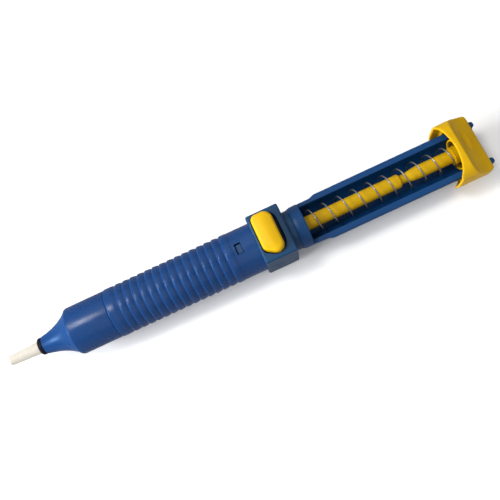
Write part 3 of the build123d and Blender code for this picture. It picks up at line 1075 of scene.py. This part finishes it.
@dataclass
class Button:
    """The release button: a rounded cap with one cut corner, crowned on top."""

    finishes: dict[Finish, bpy.types.Material]
    cut_length: float = 4.7
    cut_width: float = 3.0
    front_reach: float = 2.6
    rear_reach: float = 3.6
    near_reach: float = 2.9
    cut_front_reach: float = 1.5
    cut_end_reach: float = 1.0
    edge_round: float = 1.25
    crown: float = 0.35
    crown_shares: tuple[float, ...] = (0.8, 0.6, 0.4, 0.2, 0.05)
    lean: float = 1.2
    rings: int = 7
    corner_segments: int = 9
    corner_tolerance: float = 0.05

    def build(self) -> None:
        """Build and dress the cap."""
        cap = self._cap()
        dress(cap, self.finishes[Finish.BUTTON])
        stand_for(cap, "release_button", "button")

    def _cap(self) -> bpy.types.Object:
        """Model the cap from a flat plate.

        Returns:
            The cap.
        """
        low, high = (Vector(corner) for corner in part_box("release_button"))
        middle = (low + high) / 2
        bpy.ops.object.select_all(action="DESELECT")
        bpy.ops.mesh.primitive_plane_add(size=1, location=(middle.x, middle.y, low.z))
        cap = bpy.context.object
        cap.name = cap.data.name = "release_cap"
        cap.scale = (high.x - low.x, high.y - low.y, 1)
        bpy.ops.object.transform_apply(location=True, rotation=True, scale=True)
        self._cut_corner(cap, low)
        self._round_corners(cap, low, high)
        bpy.ops.mesh.select_all(action="SELECT")
        wall = high.z - low.z - (self.edge_round + self.crown) * MM
        bpy.ops.mesh.extrude_region_move(TRANSFORM_OT_translate={"value": (0, 0, wall)})
        self._crown(low, high)
        close_mesh(cap)
        smooth(cap, degrees=50.0)
        return cap

    def _cut_corner(self, cap: bpy.types.Object, low: Vector) -> None:
        """Cut the front corner on -Y away.

        Args:
            cap: the flat plate.
            low: the cap's lowest corner.
        """
        open_for_editing(cap)
        bpy.ops.mesh.select_all(action="SELECT")
        length, width = self.cut_length * MM, self.cut_width * MM
        bpy.ops.mesh.bisect(
            plane_co=(low.x, low.y + width, low.z),
            plane_no=Vector((width, length, 0)).normalized(),
            clear_inner=True,
            threshold=MERGE_DISTANCE,
        )

    def _round_corners(self, cap: bpy.types.Object, low: Vector, high: Vector) -> None:
        """Round the plate's five corners, each by how far its curve reaches along the edges.

        Args:
            cap: the flat plate in edit mode.
            low: the cap's lowest corner.
            high: its highest corner.
        """
        cut_x, cut_y = low.x + self.cut_length * MM, low.y + self.cut_width * MM
        corners = (
            (self.front_reach, low.x, high.y),
            (self.rear_reach, high.x, high.y),
            (self.near_reach, high.x, low.y),
            (self.cut_front_reach, low.x, cut_y),
            (self.cut_end_reach, cut_x, low.y),
        )
        near = self.corner_tolerance * MM
        for reach, x, y in corners:
            bpy.ops.mesh.select_all(action="DESELECT")
            corner = Vector((x, y, low.z))
            found = pick(cap, "VERT", lambda vertex: (vertex.co - corner).length < near)
            if found != 1:
                raise RuntimeError(f"the button's corner at {x}, {y} has {found} vertices")
            bpy.ops.mesh.bevel(
                offset=reach * MM, segments=self.corner_segments, affect="VERTICES", clamp_overlap=True
            )

    def _crown(self, low: Vector, high: Vector) -> None:
        """Round the top's edge ring by ring, then raise a shallow crown over it.

        Args:
            low: the cap's lowest corner.
            high: its highest corner.
        """
        half_x, half_y = (high.x - low.x) / 2, (high.y - low.y) / 2
        centre = ((high.x + low.x) / 2, (high.y + low.y) / 2 + self.lean * MM, high.z)
        edge = self.edge_round * MM
        rings = []
        for ring in range(1, self.rings + 1):
            turn = math.radians(90 * ring / self.rings)
            rings.append((edge * (1 - math.cos(turn)), edge * math.sin(turn)))
        flat = half_x - edge
        for share in self.crown_shares:
            rings.append((half_x - flat * share, edge + self.crown * MM * (1 - share * share)))
        inward, upward = 0.0, 0.0
        for next_inward, next_upward in rings:
            step = (0, 0, next_upward - upward)
            bpy.ops.mesh.extrude_region_move(TRANSFORM_OT_translate={"value": step})
            shrink_x = (half_x - next_inward) / (half_x - inward)
            shrink_y = (half_y - next_inward) / (half_y - inward)
            bpy.ops.transform.resize(value=(shrink_x, shrink_y, 1), center_override=centre)
            inward, upward = next_inward, next_upward


@dataclass
class LoadingHead:
    """The head that the thumb pushes: a saddle with a thin front rim and a sunken thumb rest.

    top is above the pump's axis, and so is the dimple's third measure.
    """

    finishes: dict[Finish, bpy.types.Material]
    rim_wall: float = 1.15
    rim_rear: float = 96.0
    top: float = 10.6
    corner: float = 4.2
    belly_share: float = 0.98
    round_segments: int = 14
    dimple: tuple[float, float, float] = (102.3, 2.4, 10.3)
    dimple_size: Point = (3.4, 9.5, 6.0)
    voxel: float = 0.24
    passes: int = 16

    def build(self) -> None:
        """Build and dress the head."""
        cutters = [self._rim_cutter(), self._thumb_dimple()]
        head = softened("thumb_head", "loading_head", self.voxel, self.passes, cutters)
        dress(head, self.finishes[Finish.HEAD])
        stand_for(head, "loading_head", "plunger")

    def _rim_cutter(self) -> bpy.types.Object:
        """The room inside the thin front rim: a bar, half round below and rounded above.

        Returns:
            The bar that is cut away.
        """
        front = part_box("loading_head")[0][0] - MM
        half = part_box("loading_head")[1][1] - self.rim_wall * MM
        roof = AXIS_Z + (self.top - self.rim_wall) * MM
        rear = self.rim_rear * MM
        bpy.ops.object.select_all(action="DESELECT")
        place = ((front + rear) / 2, 0, (AXIS_Z - half + roof) / 2)
        bpy.ops.mesh.primitive_cube_add(size=1, location=place)
        bar = bpy.context.object
        bar.scale = (rear - front, 2 * half, roof - AXIS_Z + half)
        bpy.ops.object.transform_apply(location=True, rotation=True, scale=True)
        for above, radius in ((True, self.corner * MM), (False, half * self.belly_share)):
            open_for_editing(bar, "EDGE")
            pick(bar, "EDGE", lambda e: self._runs_along(e) and (e.verts[0].co.z > AXIS_Z) == above)
            bpy.ops.mesh.bevel(offset=radius, segments=self.round_segments, affect="EDGES")
            bpy.ops.object.mode_set(mode="OBJECT")
        return bar

    def _thumb_dimple(self) -> bpy.types.Object:
        """The shallow hollow that the thumb finds in the rear slope.

        Returns:
            The ball that is cut away.
        """
        bpy.ops.object.select_all(action="DESELECT")
        x, y, height = self.dimple
        place = (x * MM, y * MM, AXIS_Z + height * MM)
        bpy.ops.mesh.primitive_uv_sphere_add(segments=48, ring_count=24, radius=MM, location=place)
        thumb = bpy.context.object
        thumb.scale = self.dimple_size
        bpy.ops.object.transform_apply(location=True, rotation=True, scale=True)
        return thumb

    def _runs_along(self, edge: bmesh.types.BMEdge) -> bool:
        """Whether an edge runs along the pump.

        Args:
            edge: an edge of the bar.

        Returns:
            True for the bar's long edges.
        """
        ends = [vertex.co for vertex in edge.verts]
        return abs(ends[0].x - ends[1].x) > MM


@dataclass
class Guard:
    """The half-pipe behind the housing, its collar in front and two rounded prongs at its end."""

    finishes: dict[Finish, bpy.types.Material]
    voxel: float = 0.28
    passes: int = 5

    def build(self) -> None:
        """Build and dress the guard."""
        guard = softened("guard_trough", "guard_channel", self.voxel, self.passes)
        dress(guard, self.finishes[Finish.GUARD])
        stand_for(guard, "guard_channel", "housing")


# ---------------------------------------------------------------- stage, light and camera


@dataclass(frozen=True)
class SoftLight:
    """One square area light that faces the pump.

    Angles are in degrees, with azimuth 0 on the -Y side; distance and size are in metres and
    power is in watts. A light that isn't mirrored is left out of reflections, and one that isn't
    diffused doesn't light matt surfaces.
    """

    name: str
    azimuth: float
    elevation: float
    distance: float
    size: float
    power: float
    colour: Colour
    mirrored: bool = True
    diffused: bool = True

    def hang(self, target: Vector) -> None:
        """Hang the light.

        Args:
            target: the point that it faces.
        """
        azimuth, elevation = math.radians(self.azimuth), math.radians(self.elevation)
        reach = math.cos(elevation)
        away = Vector((math.sin(azimuth) * reach, -math.cos(azimuth) * reach, math.sin(elevation)))
        bpy.ops.object.light_add(type="AREA", location=target + away * self.distance)
        light = bpy.context.object
        light.name = self.name
        light.rotation_euler = away.to_track_quat("Z", "Y").to_euler()
        light.data.size = self.size
        light.data.energy = self.power
        light.data.color = self.colour
        light.visible_glossy = self.mirrored
        light.visible_diffuse = self.diffused


LIGHTS = (
    SoftLight(
        "key", azimuth=237.4, elevation=64.7, distance=0.835, size=0.2, power=2.9,
        colour=(1.0, 0.97, 0.94),
    ),
    SoftLight(
        "back", azimuth=172.0, elevation=52.0, distance=1.1, size=1.0, power=1.6,
        colour=(0.97, 0.99, 1.0),
    ),
    SoftLight(
        "left", azimuth=268.0, elevation=24.0, distance=1.0, size=0.6, power=19.0,
        colour=(0.98, 0.99, 1.0), mirrored=False,
    ),
    SoftLight(
        "window", azimuth=270.0, elevation=28.6, distance=1.0, size=0.3, power=4.5,
        colour=(0.35, 0.6, 1.0), diffused=False,
    ),
    SoftLight(
        "front", azimuth=5.0, elevation=55.0, distance=1.2, size=1.0, power=1.7,
        colour=(1.0, 0.99, 0.97),
    ),
)


@dataclass
class Studio:
    """The pale floor, the soft lights and the camera."""

    floor_size: float = 3.0
    floor_gap: float = 0.00002
    floor_light: Colour = (0.93, 0.93, 0.93)
    floor_dark: Colour = (0.9, 0.9, 0.905)
    floor_roughness: float = 0.85
    distance: float = 0.2604
    elevation: float = 76.0
    roll: float = 24.9
    target_x: float = 0.0016
    lens: float = 44.6
    nearest: float = 0.01
    world_colour: Colour = (0.97, 0.98, 1.0)
    world_strength: float = 0.33

    def build(self) -> None:
        """Make the floor, the world, the lights and the camera."""
        self._floor(CAD_BOX[0][2])
        self._world()
        target = Vector((self.target_x, 0.0, AXIS_Z))
        for light in LIGHTS:
            light.hang(target)
        self._camera(target)

    def _floor(self, height: float) -> None:
        """Lay the floor just under a height.

        Args:
            height: the pump's lowest point in metres.
        """
        place = (0, 0, height - self.floor_gap)
        bpy.ops.mesh.primitive_plane_add(size=self.floor_size, location=place)
        floor = bpy.context.object
        floor.name = "floor"
        graph = Graph("pale_floor")
        shade = graph.noise(scale=9.0, detail=2.0)
        colour = graph.mix(shade, self.floor_light, self.floor_dark)
        dress(floor, graph.finish(Base_Color=colour, Roughness=self.floor_roughness))
        floor.visible_glossy = False

    def _world(self) -> None:
        """Fill the room with even white light."""
        world = bpy.data.worlds.new("room")
        bpy.context.scene.world = world
        world.use_nodes = True
        background = world.node_tree.nodes["Background"]
        background.inputs["Color"].default_value = (*self.world_colour, 1.0)
        background.inputs["Strength"].default_value = self.world_strength

    def _camera(self, target: Vector) -> None:
        """Stand the camera over the pump, rolled so that the pump climbs to the right.

        Args:
            target: the point that it looks at.
        """
        elevation, roll = math.radians(self.elevation), math.radians(self.roll)
        away = Vector((0.0, -math.cos(elevation), math.sin(elevation)))
        level_up = Vector((0.0, math.sin(elevation), math.cos(elevation)))
        along = Vector((1.0, 0.0, 0.0))
        right = along * math.cos(roll) - level_up * math.sin(roll)
        up = along * math.sin(roll) + level_up * math.cos(roll)
        turn = Matrix((right, up, away)).transposed()
        data = bpy.data.cameras.new("camera")
        data.lens = self.lens
        data.clip_start = self.nearest
        camera = bpy.data.objects.new("camera", data)
        bpy.context.scene.collection.objects.link(camera)
        camera.matrix_world = Matrix.Translation(target + away * self.distance) @ turn.to_4x4()
        bpy.context.scene.camera = camera
        bpy.context.scene.view_settings.view_transform = "Standard"


def main() -> None:
    """Build the studio and every piece, in order."""
    bpy.ops.object.select_all(action="DESELECT")
    Studio().build()
    log.info("studio: floor, lights and camera")
    finishes = make_finishes()
    slot_of = {part["node"]: part["material_slot"] for part in frame["record"]["subparts"]}
    for name, node in frame["nodes"].items():
        dress(node, finishes[Finish(slot_of[name])])
        log.info("dressed %s", name)
    assemblies = (
        Nose(finishes),
        Grip(finishes),
        Button(finishes),
        Guard(finishes),
        Springs(finishes),
        LoadingHead(finishes),
    )
    for assembly in assemblies:
        assembly.build()


if __name__ == "__main__":
    main()
